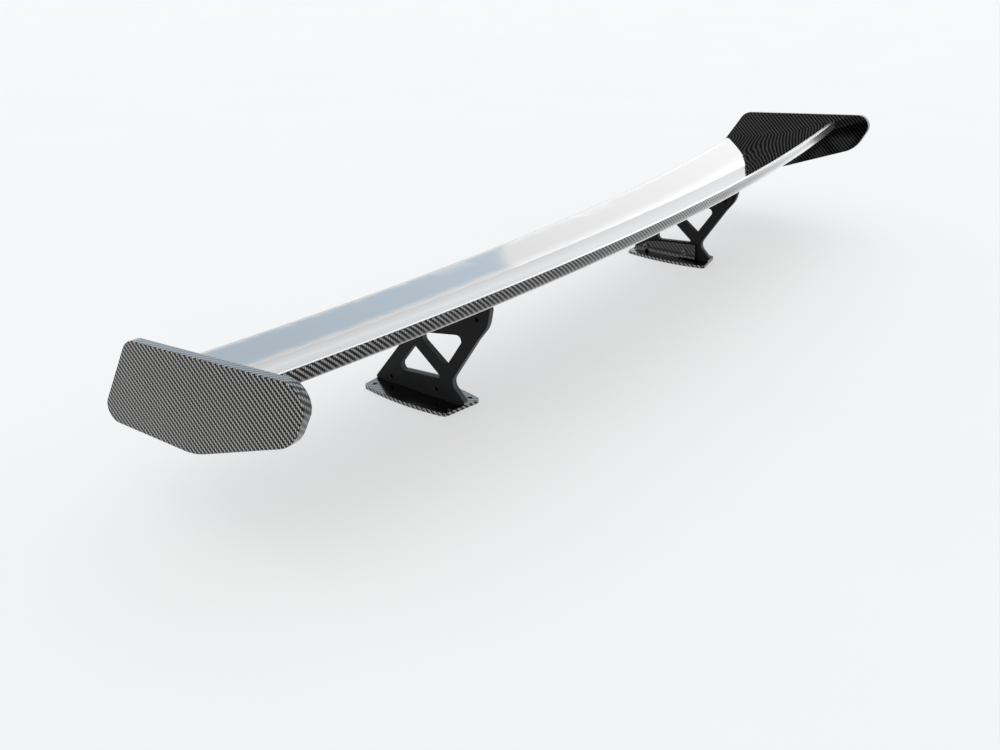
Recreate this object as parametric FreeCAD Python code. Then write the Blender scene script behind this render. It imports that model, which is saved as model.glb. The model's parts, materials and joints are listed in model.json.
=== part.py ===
"""Racing rear wing: one bowed carbon element, two endplates, two truss uprights and two bases.

Millimetres.  +X runs across the car to its right, +Y points forward, +Z points up.
The origin is on the ground plane under the middle of the whole wing's bounding box.
Everything off the centre line is built on the right-hand side and mirrored to the left.
"""
import FreeCAD, Part
import math
import os

Vector = FreeCAD.Vector

# ---- whole wing ---------------------------------------------------------------------------------
OVERALL_WIDTH = 1500.0
ENDPLATE_THICKNESS = 11.0
HALF_SPAN = OVERALL_WIDTH / 2 - ENDPLATE_THICKNESS
BOW = 52.0                    # how far the middle of the element sits behind its ends
STATION_PITCH = 125.0         # spacing of the sections that the element is lofted through

# ---- wing section: u runs back along the chord, v stands square to it ---------------------------
LEADING_EDGE = (138.8, 142.3)         # y and z of the chord line's front end, at the endplates
CHORD_ANGLE = math.radians(15.7)
NOSE = (-1.0, -7.0)
UPPER_POINTS = [NOSE, (3.0, 0.6), (14.0, 3.7), (30.0, 2.3), (60.0, -1.6), (90.0, -5.6),
                (110.0, -7.8), (130.0, -8.3), (150.0, -7.9), (170.0, -6.8), (200.0, -4.0),
                (230.0, -0.5)]
LOWER_POINTS = [NOSE, (6.0, -15.5), (20.0, -21.5), (41.0, -26.0), (75.0, -28.5),
                (122.0, -26.0), (170.0, -18.5), (205.0, -13.0), (230.0, -10.4)]
LIP_FRONT = 226.0                     # u at which both skins butt against the lip
SKIN_THICKNESS = 1.8
INSET_SAMPLES = 24                    # steps along a curve when it is inset by a thickness
AHEAD_OF_NOSE = -10.0                 # u of a station in front of the whole section
BAND_HEIGHT = (-60.0, 40.0)           # v limits that clear the section on both sides
LIP_CORNERS = [(LIP_FRONT, -0.9, 0.0), (235.6, -0.1, 1.2), (236.6, -8.0, 14.0),
               (233.0, -16.0, 4.6), (229.0, -15.8, 2.0), (LIP_FRONT, -12.8, 0.0)]

# ---- what the skins close over ------------------------------------------------------------------
FRONT_TUBE = (58.0, -14.0, 9.5)       # u, v and outer radius of the front spar tube
REAR_TUBE = (146.0, -14.8, 4.6)
TUBE_WALL = 1.5
TUBE_END_GAP = 1.0                    # room between a spar tube's end and the endplate
RIB_THICKNESS = 3.0
END_RIB_THICKNESS = 14.0
BAY_RIBS = {"inner": 190.0, "outer": 555.0}
HARDPOINT_SPAN = (322.0, 362.0)
HARDPOINT_CHORD = (28.0, 190.0)
DOWEL_RADIUS = 2.5
DOWEL_DEPTH = 6.0                     # how far each dowel stands in its endplate
DOWEL_PLACES = [(30.0, -10.0), (100.0, -17.0), (176.0, -12.0)]

# ---- endplate: y, z and corner radius -----------------------------------------------------------
ENDPLATE_CORNERS = [(100.1, 203.5, 28.0), (169.3, 95.3, 16.0), (12.2, 99.7, 100.0),
                    (-136.3, 157.2, 50.0), (-170.9, 226.3, 22.0)]
ENDPLATE_EDGE_RADIUS = 1.2

# ---- upright: a flat plate with two triangular openings, y, z and corner radius -----------------
UPRIGHT_OUTER = 363.0
UPRIGHT_THICKNESS = 8.0
UPRIGHT_INNER = UPRIGHT_OUTER - UPRIGHT_THICKNESS
PIVOT = (55.0, 111.0)
CLAMP = (-44.3, 132.4)
UPRIGHT_CORNERS = [(133.6, 5.0, 2.5), (66.5, 90.5, 30.0), (69.5, 124.5, 12.0), (14.0, 128.5, 60.0),
                   (-30.0, 139.0, 60.0), (-66.5, 154.0, 3.0), (-61.5, 125.5, 40.0),
                   (-45.5, 104.5, 20.0), (-0.5, 33.5, 14.0), (-25.0, 10.5, 3.0),
                   (-15.5, 5.0, 4.0)]
OPENING_LOW = [(92.5, 28.8, 7.0), (12.6, 35.7, 3.0), (59.3, 72.6, 1.5)]
OPENING_HIGH = [(6.0, 55.6, 1.0), (-27.5, 106.8, 7.0), (56.0, 92.0, 8.0)]

# ---- base: flange outline in x, y and corner radius, web outline in y, z and corner radius ------
FLANGE_THICKNESS = 5.0
FLANGE_CORNERS = [(329.0, 132.0, 7.0), (314.0, 52.0, 330.0), (331.0, -25.0, 6.0),
                  (392.5, -15.0, 8.0), (402.5, 60.0, 370.0), (391.0, 129.0, 7.0)]
WEB_OUTER = UPRIGHT_INNER
WEB_THICKNESS = 6.0
WEB_INNER = WEB_OUTER - WEB_THICKNESS
WEB_CORNERS = [(131.0, 2.0, 0.0), (131.0, 5.0, 0.0), (101.0, 24.0, 25.0), (82.0, 27.6, 20.0),
               (4.5, 34.2, 2.0), (2.0, 2.0, 0.0)]
WEB_ROOT_RADIUS = 6.0
WEB_ROOT_START = 3.0                  # y at which the fillet under the web begins
SPOT_FACE_CLEARANCE = 0.5             # flat cut into the fillet round each washer
BASE_HOLE_RADIUS = 3.3
BASE_HOLE_CENTRE = (358.5, 53.0)
BASE_HOLE_SPACING = (43.0, 130.0)
BASE_SCREWS = [(104.1, 13.6), (24.3, 17.2)]

# ---- hanger: the bracket that hangs from the element and swings on the upright ------------------
SLIDING_GAP = 0.3
HANGER_OUTER = UPRIGHT_INNER - SLIDING_GAP
HANGER_THICKNESS = 6.0
HANGER_INNER = HANGER_OUTER - HANGER_THICKNESS
HANGER_CORNERS = [(67.0, 99.0, 10.0), (67.0, 140.0, 0.0), (-54.5, 175.0, 0.0),
                  (-54.5, 118.5, 9.0), (-22.0, 110.5, 30.0), (42.0, 98.0, 12.0)]
HANGER_FLANGE_INNER = 328.0
HANGER_FLANGE_THICKNESS = 5.0
HANGER_FLANGE_CHORD = (31.0, 176.0)
HANGER_SCREW_PLACES = [41.0, 104.0, 158.0]
HANGER_SCREW_X = 336.0
HANGER_SCREW_SINK = 1.0
TILT_RANGE = math.radians(5.0)        # the element tilts this far each way
SLOT_CLEARANCE = 0.5

# ---- fasteners ----------------------------------------------------------------------------------
M4 = {"shank": 2.0, "head": 3.5, "head_height": 3.6, "socket_flats": 3.0, "nut_flats": 7.0,
      "nut": 3.2, "washer": 4.5}
M5 = {"shank": 2.5, "head": 4.7, "head_height": 2.6, "socket_flats": 3.0, "length": 14.0}
M6 = {"shank": 3.0, "head": 5.0, "head_height": 3.6, "socket_flats": 5.0, "nut_flats": 10.0,
      "nut": 5.0, "washer": 6.2}
SOCKET_FLOOR = 1.2                    # metal left between a hexagon socket and the shank
HEAD_SINK = 1.6                       # screw heads lie this far under the upright's outer face
WASHER_THICKNESS = 1.2
NUT_CHAMFER = 0.6
SCREW_HOLE_CLEARANCE = 0.2
BUSH_WALL = 1.5
RUNNING_CLEARANCE = 0.05
THREAD_STICKOUT = 1.2
OVERSHOOT = 1.0                       # how far cutting shapes run past the faces they open


# ---- plane geometry -----------------------------------------------------------------------------
def on_side(x):
    """Place (y, z) pairs on the plane at x."""
    return lambda y, z: Vector(x, y, z)


def on_ground(z):
    """Place (x, y) pairs on the plane at height z."""
    return lambda x, y: Vector(x, y, z)


def on_section(u, v):
    """Place a (u, v) pair of the wing section on the plane x = 0, where an endplate would be."""
    y = LEADING_EDGE[0] - u * math.cos(CHORD_ANGLE) + v * math.sin(CHORD_ANGLE)
    z = LEADING_EDGE[1] + u * math.sin(CHORD_ANGLE) + v * math.cos(CHORD_ANGLE)
    return Vector(0, y, z)


def rounded_wire(corners, place):
    """Closed wire through (a, b, radius) corners, each rounded by its own radius."""
    points = [place(a, b) for a, b, _ in corners]
    joins = []
    for index, (_, _, radius) in enumerate(corners):
        corner = points[index]
        back = (points[index - 1] - corner).normalize()
        ahead = (points[(index + 1) % len(points)] - corner).normalize()
        half = back.getAngle(ahead) / 2
        centre = corner + (back + ahead).normalize() * (radius / math.sin(half))
        reach = radius / math.tan(half)
        middle = centre + (corner - centre).normalize() * radius if radius else corner
        joins.append((corner + back * reach, middle, corner + ahead * reach))
    edges = []
    for index, (start, middle, end) in enumerate(joins):
        if corners[index][2]:
            edges.append(Part.Arc(start, middle, end).toShape())
        following = joins[(index + 1) % len(joins)][0]
        if end.distanceToPoint(following) > 1e-6:
            edges.append(Part.makeLine(end, following))
    return Part.Wire(Part.__sortEdges__(edges))


def plate(corners, x_from, x_to, openings=()):
    """Flat plate between two x values, with its openings cut through."""
    body = Part.Face(rounded_wire(corners, on_side(x_from))).extrude(Vector(x_to - x_from, 0, 0))
    for opening in openings:
        hole = Part.Face(rounded_wire(opening, on_side(x_from - OVERSHOOT)))
        body = body.cut(hole.extrude(Vector(x_to - x_from + 2 * OVERSHOOT, 0, 0)))
    return body


def rod(radius, x_from, x_to, place):
    """Cylinder along X between two x values, centred on (y, z)."""
    return Part.makeCylinder(radius, x_to - x_from, Vector(x_from, *place), Vector(1, 0, 0))


# ---- wing section and sweep ---------------------------------------------------------------------
def bow(x):
    """How far back the section lies at x, from a parabola that is zero at the endplates."""
    return -BOW * (1 - (x / HALF_SPAN) ** 2)


def swept(wire, x_from, x_to):
    """Solid of one section wire carried along the bowed span."""
    count = max(3, math.ceil((x_to - x_from) / STATION_PITCH) + 1)
    stations = []
    for index in range(count):
        x = x_from + (x_to - x_from) * index / (count - 1)
        station = wire.copy()
        station.translate(Vector(x, bow(x), 0))
        stations.append(station)
    return Part.makeLoft(stations, True, False)


def section_curve(points, nose_direction):
    """Smooth curve back from the nose, which it leaves square to the chord."""
    places = [on_section(*point) for point in points]
    nose_tangent = on_section(0, nose_direction) - on_section(0, 0)
    curve = Part.BSplineCurve()
    curve.interpolate(Points=places, Tangents=[nose_tangent] * len(places),
                      TangentFlags=[index == 0 for index in range(len(places))])
    return curve


def inset_curve(curve, depth, inward):
    """Curve that runs inside another at a constant depth."""
    first = curve.FirstParameter
    step = (curve.LastParameter - first) / INSET_SAMPLES
    points = []
    for index in range(INSET_SAMPLES + 1):
        along = curve.tangent(first + index * step)[0]
        normal = Vector(inward, 0, 0).cross(along).normalize()
        points.append(curve.value(first + index * step) + normal * depth)
    inner = Part.BSplineCurve()
    inner.interpolate(Points=points)
    return inner


UPPER = section_curve(UPPER_POINTS, 1)
LOWER = section_curve(LOWER_POINTS, -1)


def layer(curve, inward, to_depth, u_from=AHEAD_OF_NOSE, u_to=LIP_FRONT):
    """Wire round the layer under a skin's outer curve, between two chord stations."""
    inner = inset_curve(curve, to_depth, inward)
    rear = Part.makeLine(curve.value(curve.LastParameter), inner.value(inner.LastParameter))
    nose = Part.makeLine(inner.value(inner.FirstParameter), curve.value(curve.FirstParameter))
    edges = Part.__sortEdges__([curve.toShape(), rear, inner.toShape(), nose])
    return Part.Face(Part.Wire(edges)).common(chord_band(u_from, u_to)).Faces[0].OuterWire


def section_face(depth):
    """Face inside both skins' outer curves, inset by a depth and ended at the lip."""
    upper = inset_curve(UPPER, depth, 1)
    lower = inset_curve(LOWER, depth, -1)
    tail = Part.makeLine(upper.value(upper.LastParameter), lower.value(lower.LastParameter))
    wire = Part.Wire(Part.__sortEdges__([upper.toShape(), tail, lower.toShape()]))
    return Part.Face(wire).common(chord_band(AHEAD_OF_NOSE, LIP_FRONT)).Faces[0]


def chord_band(u_from, u_to):
    """Rectangle across the section between two chord stations."""
    low, high = BAND_HEIGHT
    corners = [(u_from, low), (u_to, low), (u_to, high), (u_from, high)]
    return Part.Face(Part.makePolygon([on_section(*c) for c in corners + corners[:1]]))


def section_circle(u, v, radius):
    """Circle on the section plane, as two half-circle arcs."""
    fore, over = on_section(u - radius, v), on_section(u, v + radius)
    aft, under = on_section(u + radius, v), on_section(u, v - radius)
    return Part.Wire([Part.Arc(fore, over, aft).toShape(), Part.Arc(aft, under, fore).toShape()])


def spar_passages():
    """The two holes that the spar tubes need, over the whole span."""
    holes = [swept(section_circle(*tube), -HALF_SPAN, HALF_SPAN) for tube in (FRONT_TUBE, REAR_TUBE)]
    return holes[0].fuse(holes[1])


def spar_tube(u, v, radius):
    """Bowed tube that runs from end rib to end rib."""
    reach = HALF_SPAN - TUBE_END_GAP
    outside = swept(section_circle(u, v, radius), -reach, reach)
    return outside.cut(swept(section_circle(u, v, radius - TUBE_WALL), -HALF_SPAN, HALF_SPAN))


def rib(x_from, x_to, passages, band=None):
    """Slice of the space inside the skins, with holes for the spar tubes."""
    face = section_face(SKIN_THICKNESS)
    if band:
        face = face.common(chord_band(*band)).Faces[0]
    return swept(face.OuterWire, x_from, x_to).cut(passages)


# ---- fasteners ----------------------------------------------------------------------------------
def hexagon(flats, x_from, x_to, place):
    """Six-sided prism along X, centred on (y, z)."""
    corner = flats / math.sqrt(3)
    turns = [math.radians(60 * index) for index in range(7)]
    points = [Vector(x_from, place[0] + corner * math.sin(turn), place[1] + corner * math.cos(turn))
              for turn in turns]
    return Part.Face(Part.makePolygon(points)).extrude(Vector(x_to - x_from, 0, 0))


def socket_screw(size, x_tip, x_seat, place):
    """Screw along X with a round socket head that starts at x_seat."""
    x_top = x_seat + size["head_height"]
    head = rod(size["head"], x_seat, x_top, place)
    socket = hexagon(size["socket_flats"], x_seat + SOCKET_FLOOR, x_top + OVERSHOOT, place)
    return head.fuse(rod(size["shank"], x_tip, x_seat, place)).cut(socket)


def head_seat(size):
    """The x at which a screw head bears inside the upright."""
    return UPRIGHT_OUTER - HEAD_SINK - size["head_height"]


def screw_passage(size, place):
    """Stepped hole for a screw that goes through the upright with its head sunk."""
    hole = rod(size["shank"] + SCREW_HOLE_CLEARANCE, UPRIGHT_INNER - OVERSHOOT, UPRIGHT_OUTER, place)
    recess = rod(size["head"] + SCREW_HOLE_CLEARANCE, head_seat(size), UPRIGHT_OUTER + OVERSHOOT,
                 place)
    return hole.fuse(recess)


def washer(size, x_from, place):
    """Flat washer that starts at x_from."""
    x_to = x_from + WASHER_THICKNESS
    hole = rod(size["shank"] + SCREW_HOLE_CLEARANCE, x_from - OVERSHOOT, x_to + OVERSHOOT, place)
    return rod(size["washer"], x_from, x_to, place).cut(hole)


def nut(size, x_from, place):
    """Hexagon nut with both faces chamfered, threaded on its screw."""
    corner = size["nut_flats"] / math.sqrt(3)
    x_to = x_from + size["nut"]
    blank = hexagon(size["nut_flats"], x_from, x_to, place)
    waist = rod(corner, x_from + NUT_CHAMFER, x_to - NUT_CHAMFER, place)
    caps = [Part.makeCone(corner - NUT_CHAMFER, corner, NUT_CHAMFER, Vector(x, *place),
                          Vector(direction, 0, 0)) for x, direction in ((x_from, 1), (x_to, -1))]
    bore = rod(size["shank"], x_from - OVERSHOOT, x_to + OVERSHOOT, place)
    return blank.common(waist.fuse(caps)).cut(bore)


def stack(size, seat, places):
    """Screws, washers and nuts through the upright, with the washers against the face x = seat."""
    washer_x = seat - WASHER_THICKNESS
    nut_x = washer_x - size["nut"]
    tip_x = nut_x - THREAD_STICKOUT
    screws = [socket_screw(size, tip_x, head_seat(size), place) for place in places]
    washers = [washer(size, washer_x, place) for place in places]
    nuts = [nut(size, nut_x, place) for place in places]
    return screws, washers, nuts


# ---- upright and base ---------------------------------------------------------------------------
def upright():
    """Truss plate with four stepped screw holes."""
    body = plate(UPRIGHT_CORNERS, UPRIGHT_INNER, UPRIGHT_OUTER, [OPENING_LOW, OPENING_HIGH])
    for place in BASE_SCREWS + [CLAMP]:
        body = body.cut(screw_passage(M4, place))
    return body.cut(screw_passage(M6, PIVOT))


def web_root():
    """Concave fillet between the web's inner face and the flange."""
    start = Vector(WEB_INNER, WEB_ROOT_START, FLANGE_THICKNESS)
    radius = WEB_ROOT_RADIUS
    high = start + Vector(0, 0, radius)
    low = start - Vector(radius, 0, 0)
    middle = low + Vector(radius * math.sin(math.pi / 4), 0, radius - radius * math.cos(math.pi / 4))
    edges = [Part.makeLine(start, high), Part.Arc(high, middle, low).toShape(),
             Part.makeLine(low, start)]
    length = WEB_CORNERS[1][0] - WEB_ROOT_RADIUS - start.y
    return Part.Face(Part.Wire(edges)).extrude(Vector(0, length, 0))


def base_holes():
    """Centres of the four holes in the flange, as (x, y)."""
    half_x, half_y = BASE_HOLE_SPACING[0] / 2, BASE_HOLE_SPACING[1] / 2
    return [(BASE_HOLE_CENTRE[0] + i * half_x, BASE_HOLE_CENTRE[1] + j * half_y)
            for i in (-1, 1) for j in (-1, 1)]


def base():
    """Laminated bracket: flange on the bodywork, web bolted to the upright's inner face."""
    flange = Part.Face(rounded_wire(FLANGE_CORNERS, on_ground(0)))
    body = flange.extrude(Vector(0, 0, FLANGE_THICKNESS))
    body = body.fuse([plate(WEB_CORNERS, WEB_INNER, WEB_OUTER), web_root()]).removeSplitter()
    for x, y in base_holes():
        hole = Part.makeCylinder(BASE_HOLE_RADIUS, FLANGE_THICKNESS + 2 * OVERSHOOT,
                                 Vector(x, y, -OVERSHOOT))
        body = body.cut(hole)
    for place in BASE_SCREWS:
        hole = rod(M4["shank"] + SCREW_HOLE_CLEARANCE, WEB_INNER - OVERSHOOT, WEB_OUTER + OVERSHOOT,
                   place)
        spot_face = rod(M4["washer"] + SPOT_FACE_CLEARANCE, WEB_INNER - 2 * WEB_ROOT_RADIUS,
                        WEB_INNER, place)
        body = body.cut(hole).cut(spot_face)
    return body


# ---- hanger -------------------------------------------------------------------------------------
def hanger_flange():
    """Strip that lies against the lower skin, beside the hanger's plate."""
    strip = layer(LOWER, -1, -HANGER_FLANGE_THICKNESS, *HANGER_FLANGE_CHORD)
    return swept(strip, HANGER_FLANGE_INNER, HANGER_OUTER)


def clamp_slot():
    """Arc-shaped slot round the pivot, as long as the tilt needs."""
    pivot = Vector(0, *PIVOT)
    arm = Vector(0, *CLAMP) - pivot
    middle_angle = math.atan2(arm.z, arm.y)
    half_width = M4["shank"] + SLOT_CLEARANCE

    def around(radius, turn):
        angle = middle_angle + turn
        return pivot + Vector(0, radius * math.cos(angle), radius * math.sin(angle))

    outer, inner = arm.Length + half_width, arm.Length - half_width
    reach = TILT_RANGE
    past = reach + half_width / arm.Length
    edges = [Part.Arc(around(outer, -reach), around(outer, 0), around(outer, reach)).toShape(),
             Part.Arc(around(outer, reach), around(arm.Length, past), around(inner, reach)).toShape(),
             Part.Arc(around(inner, reach), around(inner, 0), around(inner, -reach)).toShape(),
             Part.Arc(around(inner, -reach), around(arm.Length, -past), around(outer, -reach)).toShape()]
    slot = Part.Face(Part.Wire(edges))
    slot.translate(Vector(HANGER_INNER - OVERSHOOT, 0, 0))
    return slot.extrude(Vector(HANGER_THICKNESS + 2 * OVERSHOOT, 0, 0))


def hanger_screw_seat(u):
    """Where a hanger screw's head bears on the flange, sunk by HANGER_SCREW_SINK."""
    lower_v = HANGER_SCREW_SINK - HANGER_FLANGE_THICKNESS
    for fore, aft in zip(LOWER_POINTS, LOWER_POINTS[1:]):
        if fore[0] <= u <= aft[0]:
            lower_v += fore[1] + (aft[1] - fore[1]) * (u - fore[0]) / (aft[0] - fore[0])
    return on_section(u, lower_v) + Vector(HANGER_SCREW_X, bow(HANGER_SCREW_X), 0)


def under_wing(shape, u):
    """Move a shape made along X at the origin so that +X points down from a hanger screw's seat."""
    down = on_section(0, -1) - on_section(0, 0)
    shape.Placement = FreeCAD.Placement(hanger_screw_seat(u), FreeCAD.Rotation(Vector(1, 0, 0), down))
    return shape


def hanger_screws():
    """Round-head socket screws from the hanger's flange up into the hardpoint block."""
    return [under_wing(socket_screw(M5, -M5["length"], 0, (0, 0)), u) for u in HANGER_SCREW_PLACES]


def hanger_screw_passages():
    """Holes for the hanger screws, each with a flat seat round the head."""
    passages = []
    for u in HANGER_SCREW_PLACES:
        shank = rod(M5["shank"], -M5["length"], 0, (0, 0))
        seat = rod(M5["head"] + SCREW_HOLE_CLEARANCE, 0, 2 * HANGER_FLANGE_THICKNESS, (0, 0))
        passages.append(under_wing(shank.fuse(seat), u))
    return passages


def hanger(envelope):
    """Bracket with a flange under the element, a pivot hole and the clamp slot."""
    web = plate(HANGER_CORNERS, HANGER_INNER, HANGER_OUTER).cut(envelope)
    body = web.fuse(hanger_flange()).removeSplitter()
    body = body.cut(rod(M6["shank"] + RUNNING_CLEARANCE + BUSH_WALL, HANGER_INNER - OVERSHOOT,
                        HANGER_OUTER + OVERSHOOT, PIVOT))
    return body.cut([clamp_slot()] + hanger_screw_passages())


def hardpoint(passages):
    """Solid block between the skins that takes the hanger's screws."""
    block = rib(*HARDPOINT_SPAN, passages, HARDPOINT_CHORD)
    for screw in hanger_screws():
        block = block.cut(screw)
    return block


def pivot_bush():
    """Plain bearing in the hanger that turns on the pivot bolt."""
    bore = M6["shank"] + RUNNING_CLEARANCE
    sleeve = rod(bore + BUSH_WALL, HANGER_INNER, HANGER_OUTER, PIVOT)
    return sleeve.cut(rod(bore, HANGER_INNER - OVERSHOOT, HANGER_OUTER + OVERSHOOT, PIVOT))


# ---- endplate -----------------------------------------------------------------------------------
def endplate_dowels():
    """Blind dowels that key an endplate to the end rib."""
    dowels = []
    for u, v in DOWEL_PLACES:
        centre = on_section(u, v)
        dowels.append(rod(DOWEL_RADIUS, HALF_SPAN - END_RIB_THICKNESS, HALF_SPAN + DOWEL_DEPTH,
                          (centre.y, centre.z)))
    return dowels


def endplate(dowels):
    """Flat plate with softened edges and blind dowel holes in its inner face."""
    body = plate(ENDPLATE_CORNERS, HALF_SPAN, OVERALL_WIDTH / 2)
    rims = [edge for edge in body.Edges if edge.BoundBox.XLength < 1e-6]
    body = body.makeFillet(ENDPLATE_EDGE_RADIUS, rims)
    for dowel in dowels:
        body = body.cut(dowel)
    return body


# ---- assembly -----------------------------------------------------------------------------------
def element_parts():
    """Skins, lip, spar tubes and centre rib, which cross the centre line."""
    passages = spar_passages()
    half_rib = RIB_THICKNESS / 2
    lower = swept(layer(LOWER, -1, SKIN_THICKNESS), -HALF_SPAN, HALF_SPAN)
    for screw in hanger_screws():
        lower = lower.cut(screw).cut(screw.mirror(Vector(0, 0, 0), Vector(1, 0, 0)))
    return {
        "upper_skin": [swept(layer(UPPER, 1, SKIN_THICKNESS), -HALF_SPAN, HALF_SPAN)],
        "lower_skin": [lower],
        "trailing_edge_lip": [swept(rounded_wire(LIP_CORNERS, on_section), -HALF_SPAN, HALF_SPAN)],
        "front_spar_tube": [spar_tube(*FRONT_TUBE)],
        "rear_spar_tube": [spar_tube(*REAR_TUBE)],
        "centre_rib": [rib(-half_rib, half_rib, passages)],
    }, passages


def side_parts(passages):
    """Every piece of the right-hand side, by its name without the side."""
    envelope = swept(section_face(0).OuterWire, HANGER_INNER - OVERSHOOT, HANGER_OUTER + OVERSHOOT)
    half_rib = RIB_THICKNESS / 2
    dowels = endplate_dowels()
    end_rib = rib(HALF_SPAN - END_RIB_THICKNESS, HALF_SPAN, passages)
    for dowel in dowels:
        end_rib = end_rib.cut(dowel)
    clamp_seat = HANGER_INNER - SLIDING_GAP
    pivot_bolt, pivot_washer, pivot_nut = stack(M6, clamp_seat, [PIVOT])
    clamp_bolt, clamp_washer, clamp_nut = stack(M4, clamp_seat, [CLAMP])
    base_screws, base_washers, base_nuts = stack(M4, WEB_INNER, BASE_SCREWS)
    parts = {
        "end_rib": [end_rib],
        "endplate": [endplate(dowels)],
        "endplate_dowels": dowels,
        "hardpoint": [hardpoint(passages)],
        "hanger": [hanger(envelope)],
        "hanger_screws": hanger_screws(),
        "pivot_bush": [pivot_bush()],
        "pivot_bolt": pivot_bolt,
        "pivot_washer": pivot_washer,
        "pivot_nut": pivot_nut,
        "clamp_bolt": clamp_bolt,
        "clamp_washer": clamp_washer,
        "clamp_nut": clamp_nut,
        "upright": [upright()],
        "base": [base()],
        "base_screws": base_screws,
        "base_washers": base_washers,
        "base_nuts": base_nuts,
    }
    for bay, x in BAY_RIBS.items():
        parts["rib_" + bay] = [rib(x - half_rib, x + half_rib, passages)]
    return parts


def save(name, solids):
    """Write one node: a single solid, or a group of separate ones."""
    shape = solids[0] if len(solids) == 1 else Part.makeCompound(solids)
    shape.exportStep(os.path.join("parts", name + ".step"))


def main():
    os.makedirs("parts", exist_ok=True)
    middle, passages = element_parts()
    for name, solids in middle.items():
        save(name, solids)
    for name, solids in side_parts(passages).items():
        save(name + "_right", solids)
        save(name + "_left", [solid.mirror(Vector(0, 0, 0), Vector(1, 0, 0)) for solid in solids])


main()
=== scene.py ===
"""Racing rear wing: looks, floor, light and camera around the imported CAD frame.  Metres."""
import json
import math

import bpy
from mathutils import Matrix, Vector


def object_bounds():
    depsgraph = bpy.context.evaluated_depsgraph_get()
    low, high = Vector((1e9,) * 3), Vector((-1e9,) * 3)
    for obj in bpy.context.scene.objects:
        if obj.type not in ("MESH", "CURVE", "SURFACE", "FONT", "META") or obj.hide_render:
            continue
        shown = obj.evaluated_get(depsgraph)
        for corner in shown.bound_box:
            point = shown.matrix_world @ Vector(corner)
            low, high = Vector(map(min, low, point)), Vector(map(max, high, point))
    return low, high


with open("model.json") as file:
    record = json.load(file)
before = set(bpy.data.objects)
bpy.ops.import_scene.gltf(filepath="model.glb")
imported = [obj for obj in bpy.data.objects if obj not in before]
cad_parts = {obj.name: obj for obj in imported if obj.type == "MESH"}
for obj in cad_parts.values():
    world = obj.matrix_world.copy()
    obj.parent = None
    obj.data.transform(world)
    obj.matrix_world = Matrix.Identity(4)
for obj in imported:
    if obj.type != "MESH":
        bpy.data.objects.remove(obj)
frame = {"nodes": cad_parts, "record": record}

CAD_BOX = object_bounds()
NODES = frame["nodes"]

# ---- camera -------------------------------------------------------------------------------------
CAMERA_PLACE = Vector((-1.2671, -0.7502, 0.59985))
CAMERA_YAW = math.radians(53.49)       # from straight ahead towards the right
CAMERA_PITCH = math.radians(25.32)     # below the horizon
CAMERA_LENS = 36.05

# ---- laminate -----------------------------------------------------------------------------------
TOW = 0.0020                           # width of one tow of the twill
LIP_TOW = 0.0018                       # the same where the cloth is drawn round the lip
ENDPLATE_TURN = math.radians(2.5)      # how far the cloth is turned on the endplates
FLANGE_THICKNESS = 0.005
FLANGE_MARGIN = 0.0002                 # height over the flange's top that still counts as flange
OUTER_MARGIN = 0.0006                  # depth under the outermost faces that counts as outside, where the tows are painted lit
LACQUER_IOR = 1.8
LACQUER_ROUGHNESS = 0.02
LIT_ROUGHNESS = 0.32                   # of cloth whose tows show as lit
CLOTH_RELIEF = 0.00005                 # height of the cloth's print through the lacquer
DARK_TOW = (0.0045, 0.0047, 0.0052)    # tows that run away from the light
DULL_TOW = (0.085, 0.084, 0.082)       # tows that catch it under thick lacquer
BRIGHT_TOW = (0.50, 0.49, 0.47)        # tows that catch it fully
SHEEN_WHITE = (0.95, 0.95, 0.95)             # painted sheen: the colour the cloth is painted towards at a shallow view angle

# ---- floor --------------------------------------------------------------------------------------
FLOOR_GLOW = 0.52                      # light the table gives off, next to what it reflects
FLOOR_REACH = 40.0

# ---- studio: azimuth runs from straight ahead towards the right, degrees ------------------------
SURROUND = (1.15, 1.15, 1.15)
PANELS = (                             # colour, (azimuth from, to, softness), the same for height
    ((1.2, 1.35, 1.5), (-10.0, 120.0, 6.0), (20.0, 60.0, 3.0)),      # cool ceiling
    ((1.4, 1.4, 1.4), (50.5, 115.0, 0.6), (-10.0, 18.0, 3.0)),       # white wall to the right
    ((0.92, 1.07, 1.21), (-20.0, 50.5, 0.6), (5.0, 18.0, 1.5)),      # cool wall ahead
)


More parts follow.
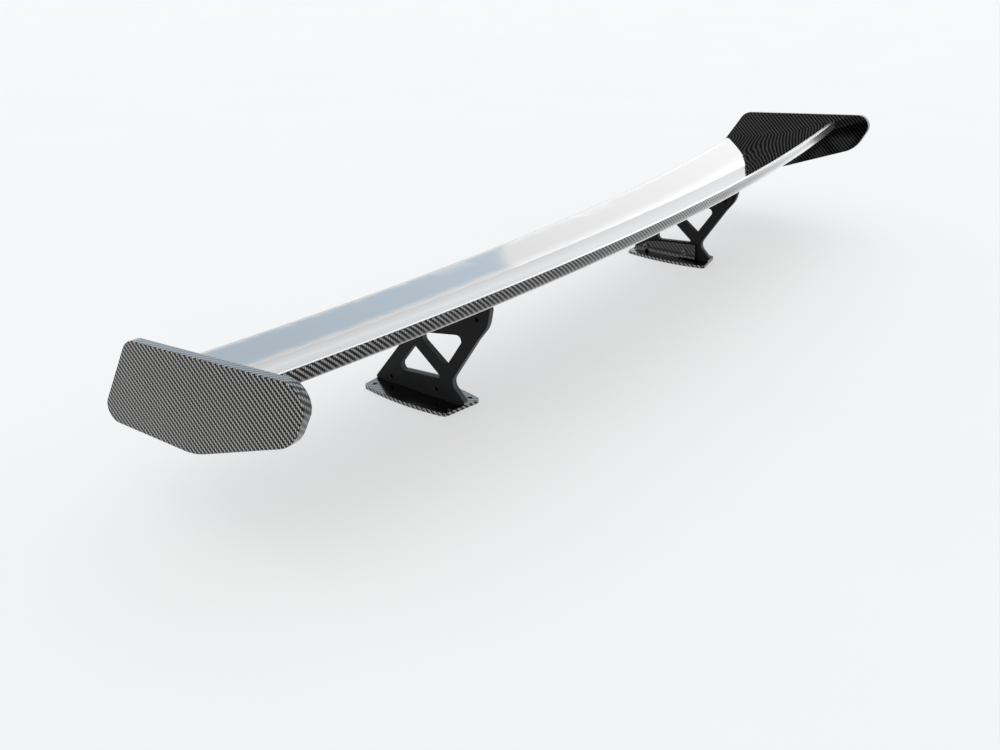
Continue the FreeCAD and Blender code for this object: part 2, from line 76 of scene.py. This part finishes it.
# ---- node helpers -------------------------------------------------------------------------------
class Graph:
    """Short calls for building the node tree of a material or of the world."""

    def __init__(self, owner):
        owner.use_nodes = True
        self.owner = owner
        self.tree = owner.node_tree

    def node(self, kind, **settings):
        made = self.tree.nodes.new(kind)
        for key, value in settings.items():
            setattr(made, key, value)
        return made

    def put(self, socket, value):
        """Link a socket to another one, or set it to a constant."""
        if isinstance(value, bpy.types.NodeSocket):
            self.tree.links.new(value, socket)
        elif isinstance(value, tuple) and len(value) == 3 and socket.type == "RGBA":
            socket.default_value = (*value, 1.0)
        else:
            socket.default_value = value

    def math(self, operation, *values):
        made = self.node("ShaderNodeMath", operation=operation)
        for socket, value in zip(made.inputs, values):
            self.put(socket, value)
        return made.outputs[0]

    def mix(self, factor, low, high):
        """Blend of two numbers."""
        made = self.node("ShaderNodeMix", data_type="FLOAT")
        for index, value in ((0, factor), (2, low), (3, high)):
            self.put(made.inputs[index], value)
        return made.outputs[0]

    def colour(self, factor, low, high):
        """Blend of two colours."""
        made = self.node("ShaderNodeMix", data_type="RGBA")
        for index, value in ((0, factor), (6, low), (7, high)):
            self.put(made.inputs[index], value)
        return made.outputs[2]

    def place(self):
        """Position and normal in the piece's own frame, which is the row frame at rest."""
        source = self.node("ShaderNodeTexCoord")
        return source.outputs["Object"], source.outputs["Normal"]

    def split(self, vector):
        made = self.node("ShaderNodeSeparateXYZ")
        self.put(made.inputs[0], vector)
        return made.outputs[0], made.outputs[1], made.outputs[2]

    def noise(self, scale, detail=2.0, stretch=(1.0, 1.0, 1.0), roughness=0.5):
        """Noise from 0 to 1 over the piece's own position."""
        position, _ = self.place()
        mapping = self.node("ShaderNodeMapping")
        self.put(mapping.inputs["Vector"], position)
        mapping.inputs["Scale"].default_value = stretch
        made = self.node("ShaderNodeTexNoise")
        self.put(made.inputs["Vector"], mapping.outputs[0])
        self.put(made.inputs["Scale"], scale)
        self.put(made.inputs["Detail"], detail)
        self.put(made.inputs["Roughness"], roughness)
        return made.outputs[0]

    def bump(self, height, distance, strength=1.0):
        made = self.node("ShaderNodeBump")
        self.put(made.inputs["Height"], height)
        made.inputs["Distance"].default_value = distance
        made.inputs["Strength"].default_value = strength
        return made.outputs[0]

    def set(self, **sockets):
        """Set or link a material's shader sockets, named with underscores for spaces."""
        shader = self.tree.nodes["Principled BSDF"]
        for name, value in sockets.items():
            self.put(shader.inputs[name.replace("_", " ")], value)


def material_graph(name):
    return Graph(bpy.data.materials.new(name))


# ---- 2x2 twill ----------------------------------------------------------------------------------
def flat_pair(graph):
    """The two coordinates along the face, picked by which way the face looks."""
    position, normal = graph.place()
    x, y, z = graph.split(position)
    facing = [graph.math("ABSOLUTE", part) for part in graph.split(normal)]
    sideways = graph.math("GREATER_THAN", facing[0], 0.7)
    level = graph.math("GREATER_THAN", facing[2], facing[1])
    across = graph.mix(sideways, x, graph.math("MULTIPLY", y, -1.0))
    along = graph.mix(sideways, graph.mix(level, z, y), z)
    return across, along


def twill(graph, tow, turn):
    """2x2 twill over the piece: (painted highlight on the tows that lie on top, height of the cloth).
    """
    p, q = flat_pair(graph)
    cos, sin = math.cos(turn) / tow, math.sin(turn) / tow
    a = graph.math("ADD", graph.math("MULTIPLY", p, cos), graph.math("MULTIPLY", q, sin))
    b = graph.math("SUBTRACT", graph.math("MULTIPLY", q, cos), graph.math("MULTIPLY", p, sin))
    cell = graph.math("ADD", graph.math("FLOOR", a), graph.math("FLOOR", b))
    step = graph.math("FLOORED_MODULO", cell, 4.0)
    warp = graph.math("LESS_THAN", step, 1.5)
    part_a, part_b = graph.math("FRACT", a), graph.math("FRACT", b)
    across = graph.mix(warp, part_b, part_a)
    run = graph.mix(warp, graph.math("ADD", graph.math("SUBTRACT", step, 2.0), part_a),
                    graph.math("ADD", step, part_b))
    round_tow = arch(graph, across, 1.0)
    round_float = arch(graph, run, 2.0)
    height = graph.math("MULTIPLY", graph.math("POWER", round_tow, 0.6),
                        graph.mix(round_float, 0.55, 1.0))
    # Painted highlight: strongest across the middle of each tow and along the middle of its float.
    shine = graph.math("MULTIPLY", graph.mix(round_float, 0.3, 1.0), graph.mix(round_tow, 0.0, 1.15))
    return graph.math("MULTIPLY", warp, shine), height


def arch(graph, value, width):
    """1 in the middle of a stretch of that width, 0 at both ends."""
    centred = graph.math("SUBTRACT", graph.math("MULTIPLY", value, 2.0 / width), 1.0)
    return graph.math("SUBTRACT", 1.0, graph.math("MULTIPLY", centred, centred))


def carbon(name, zones, tow=TOW, turn=0.0, gloss=0.14, relief=0.15):
    """Twill laminate; zones(graph) gives how much painted light its tows carry, its lacquer, and the
    strength of the painted sheen that turns it white at a shallow angle.
    """
    graph = material_graph(name)
    shine, height = twill(graph, tow, turn)
    fibre = graph.noise(900.0, 3.0)
    cloud = graph.noise(9.0)
    level = graph.math("MULTIPLY", shine, graph.mix(fibre, 0.75, 1.2))
    level = graph.math("MULTIPLY", level, graph.mix(cloud, 0.85, 1.12))
    lit, lacquer, painted_sheen = zones(graph)
    # Painted light: the twill's painted highlight blends dark tows towards dull or bright ones, as
    # lit as the zones paint them.
    cloth = graph.colour(level, DARK_TOW, graph.colour(lit, DULL_TOW, BRIGHT_TOW))
    # Painted sheen: the colour turns towards white at a shallow view angle.
    shallow = graph.math("POWER", graph.node("ShaderNodeLayerWeight").outputs["Facing"], 5.0)
    base = graph.colour(graph.math("MULTIPLY", shallow, painted_sheen), cloth, SHEEN_WHITE)
    graph.set(Base_Color=base, Metallic=1.0, Roughness=graph.mix(lit, gloss, LIT_ROUGHNESS),
              Coat_Weight=lacquer, Coat_Roughness=LACQUER_ROUGHNESS, Coat_IOR=LACQUER_IOR,
              Normal=graph.bump(height, CLOTH_RELIEF, relief))
    return graph.owner


def skin_zones(graph):
    """Dark cloth under full lacquer."""
    return 0.0, 1.0, 0.0


def lip_zones(graph):
    """Tows painted half lit, varying at random, under thin lacquer, with a strong painted sheen at a
    shallow angle.
    """
    return graph.mix(graph.noise(30.0), 0.45, 0.65), 0.15, 3.5


def endplate_zones(graph):
    """Painted light on the tows of the outer faces and, at 0.4, of the rims; thick lacquer on the
    rims; nearly bare cloth with no painted light on the inner faces, which stay dark.
    """
    position, normal = graph.place()
    outer = graph.math("GREATER_THAN", graph.math("ABSOLUTE", graph.split(position)[0]),
                       CAD_BOX[1].x - OUTER_MARGIN)
    rim = graph.math("LESS_THAN", graph.math("ABSOLUTE", graph.split(normal)[0]), 0.5)
    # Painted light: outer faces fully lit, rims partly, inner faces not.
    lit = graph.math("MAXIMUM", outer, graph.math("MULTIPLY", rim, 0.4))
    return lit, graph.mix(rim, 0.04, 0.6), 0.0


def base_zones(graph):
    """Painted light on the tows round the edge of the flange and, weaker, on its top, and lacquer all
    over.
    """
    position, normal = graph.place()
    low = graph.math("LESS_THAN", graph.split(position)[2], FLANGE_THICKNESS + FLANGE_MARGIN)
    upright = graph.math("LESS_THAN", graph.math("ABSOLUTE", graph.split(normal)[2]), 0.5)
    # Painted light: full on the flange's side faces, 0.35 on its top, none above the flange.
    return graph.math("MULTIPLY", low, graph.mix(upright, 0.35, 1.0)), 0.4, 0.0


# ---- other materials ----------------------------------------------------------------------------
def satin_black(name, face, rim):
    """Black coated plate: fine grain on the faces, and rims painted lighter as a painted reflection.
    """
    graph = material_graph(name)
    _, normal = graph.place()
    flat = graph.math("GREATER_THAN", graph.math("ABSOLUTE", graph.split(normal)[0]), 0.9)
    grain = graph.noise(1400.0, 3.0)
    cloud = graph.noise(25.0, 3.0)
    # Painted reflection: the rims get the lighter rim colour, the flat faces the face colour.
    base = graph.colour(flat, rim, face)
    base = graph.colour(graph.math("MULTIPLY", cloud, 0.35), base, (0.02, 0.02, 0.022))
    graph.set(Base_Color=base, Roughness=graph.mix(grain, 0.45, 0.6), Specular_IOR_Level=0.08,
              Normal=graph.bump(grain, 0.00004, 0.5))
    return graph.owner


def steel(name, dull, bright, roughness):
    """Turned or plated steel, finely brushed across X and clouded."""
    graph = material_graph(name)
    brush = graph.noise(2200.0, 2.0, (0.2, 1.0, 1.0))
    cloud = graph.noise(160.0, 3.0)
    graph.set(Base_Color=graph.colour(cloud, dull, bright), Metallic=1.0,
              Roughness=graph.mix(brush, roughness, roughness + 0.16),
              Normal=graph.bump(brush, 0.00002, 0.4))
    return graph.owner


def speckled(name, low, high, scale, roughness, depth):
    """Granular board, foam or moulded polymer."""
    graph = material_graph(name)
    grain = graph.noise(scale, 4.0, (1.0, 1.0, 1.0), 0.65)
    cells = graph.node("ShaderNodeTexVoronoi")
    graph.put(cells.inputs["Vector"], graph.place()[0])
    graph.put(cells.inputs["Scale"], scale * 0.8)
    mixed = graph.math("MULTIPLY", graph.math("ADD", grain, cells.outputs["Distance"]), 0.6)
    graph.set(Base_Color=graph.colour(mixed, low, high), Roughness=roughness,
              Normal=graph.bump(mixed, depth, 0.6))
    return graph.owner


def wrapped_tube(name):
    """Roll-wrapped carbon: fine lines that run round the tube."""
    graph = material_graph(name)
    lines = graph.noise(60.0, 3.0, (14.0, 1.0, 1.0))
    graph.set(Base_Color=graph.colour(lines, (0.008, 0.008, 0.009), (0.05, 0.05, 0.055)),
              Roughness=graph.mix(lines, 0.35, 0.6), Normal=graph.bump(lines, 0.00005, 0.5))
    return graph.owner


def pale_floor(name):
    """Matt white light table with a barely visible mottle."""
    graph = material_graph(name)
    cloud = graph.noise(3.0, 3.0)
    graph.set(Base_Color=graph.colour(cloud, (0.32, 0.32, 0.32), (0.34, 0.34, 0.34)),
              Roughness=0.9, Specular_IOR_Level=0.1,
              Emission_Color=(1.0, 1.0, 1.0), Emission_Strength=FLOOR_GLOW)
    return graph.owner


def paint(node, material):
    """Give a CAD node one material."""
    mesh = NODES[node].data
    mesh.materials.clear()
    mesh.materials.append(material)


def materials():
    """Materials by record slot, or by node where one slot holds pieces that look different."""
    return {
        "upper_skin": carbon("carbon_top", skin_zones, gloss=0.03, relief=0.03),
        "lower_skin": carbon("carbon_under", skin_zones),
        "trailing_edge_lip": carbon("carbon_lip", lip_zones, tow=LIP_TOW),
        "endplate": carbon("carbon_endplate", endplate_zones, turn=ENDPLATE_TURN),
        "base": carbon("carbon_base", base_zones),
        # black plates and brackets: face colour, then a lighter rim colour that is a painted
        # reflection
        "black_plate": satin_black("black_plate", (0.012, 0.012, 0.012), (0.08, 0.085, 0.092)),
        "black_bracket": satin_black("black_bracket", (0.012, 0.012, 0.012), (0.03, 0.03, 0.034)),
        "black_steel": steel("black_steel", (0.002, 0.002, 0.002), (0.006, 0.006, 0.006), 0.32),
        "zinc_steel": steel("zinc_steel", (0.16, 0.16, 0.17), (0.3, 0.3, 0.32), 0.24),
        "foam_rib": speckled("foam_rib", (0.52, 0.46, 0.32), (0.72, 0.66, 0.5), 900.0, 0.8, 0.0002),
        "tooling_board": speckled("tooling_board", (0.3, 0.2, 0.1), (0.5, 0.36, 0.2), 1500.0, 0.7,
                                  0.00005),
        "bush_polymer": speckled("bush_polymer", (0.7, 0.68, 0.6), (0.85, 0.83, 0.77), 700.0, 0.45,
                                 0.00003),
        "carbon_tube": wrapped_tube("carbon_tube"),
    }


def paint_nodes():
    """Give every CAD node the material made for it, or its slot's."""
    made = materials()
    slots = {part["node"]: part["material_slot"] for part in frame["record"]["subparts"]}
    for node in NODES:
        plain = node.removesuffix("_left").removesuffix("_right")
        paint(node, made[plain] if plain in made else made[slots[node]])


# ---- floor, light, camera -----------------------------------------------------------------------
def floor():
    """Plain floor that reaches far beyond the wing on every side."""
    mesh = bpy.data.meshes.new("floor")
    turns = ((-1, -1), (1, -1), (1, 1), (-1, 1))
    corners = [(i * FLOOR_REACH, j * FLOOR_REACH, 0.0) for i, j in turns]
    mesh.from_pydata(corners, [], [(0, 1, 2, 3)])
    mesh.materials.append(pale_floor("pale_floor"))
    ground = bpy.data.objects.new("floor", mesh)
    bpy.context.scene.collection.objects.link(ground)


def world_light():
    """Even studio surround, with each panel laid over it where its two windows meet."""
    graph = Graph(bpy.data.worlds.new("studio"))
    bpy.context.scene.world = graph.owner
    x, y, z = graph.split(graph.node("ShaderNodeTexCoord").outputs["Generated"])
    azimuth = graph.math("ARCTAN2", x, y)
    height = graph.math("ARCSINE", z)
    shade = SURROUND
    for colour, sideways, upward in PANELS:
        inside = graph.math("MULTIPLY", window(graph, azimuth, *sideways),
                            window(graph, height, *upward))
        shade = graph.colour(inside, shade, colour)
    graph.put(graph.tree.nodes["Background"].inputs["Color"], shade)


def window(graph, value, low, high, soft):
    """1 where an angle lies between two limits in degrees, with soft edges."""
    edges = []
    for limit, sign in ((low, 1.0), (high, -1.0)):
        made = graph.node("ShaderNodeMapRange", interpolation_type="SMOOTHSTEP")
        graph.put(made.inputs["Value"], value)
        made.inputs["From Min"].default_value = math.radians(limit - sign * soft)
        made.inputs["From Max"].default_value = math.radians(limit + sign * soft)
        edges.append(made.outputs[0])
    return graph.math("MULTIPLY", *edges)


def camera():
    """Camera behind the wing's left end, a little above it."""
    data = bpy.data.cameras.new("camera")
    data.lens = CAMERA_LENS
    data.sensor_width = 36.0
    data.clip_start, data.clip_end = 0.05, 200.0
    eye = bpy.data.objects.new("camera", data)
    eye.location = CAMERA_PLACE
    level = math.cos(CAMERA_PITCH)
    look = Vector((math.sin(CAMERA_YAW) * level, math.cos(CAMERA_YAW) * level,
                   -math.sin(CAMERA_PITCH)))
    eye.rotation_mode = "QUATERNION"
    eye.rotation_quaternion = look.to_track_quat("-Z", "Y")
    bpy.context.scene.collection.objects.link(eye)
    bpy.context.scene.camera = eye


bpy.context.scene.view_settings.view_transform = "Standard"
paint_nodes()
floor()
world_light()
camera()
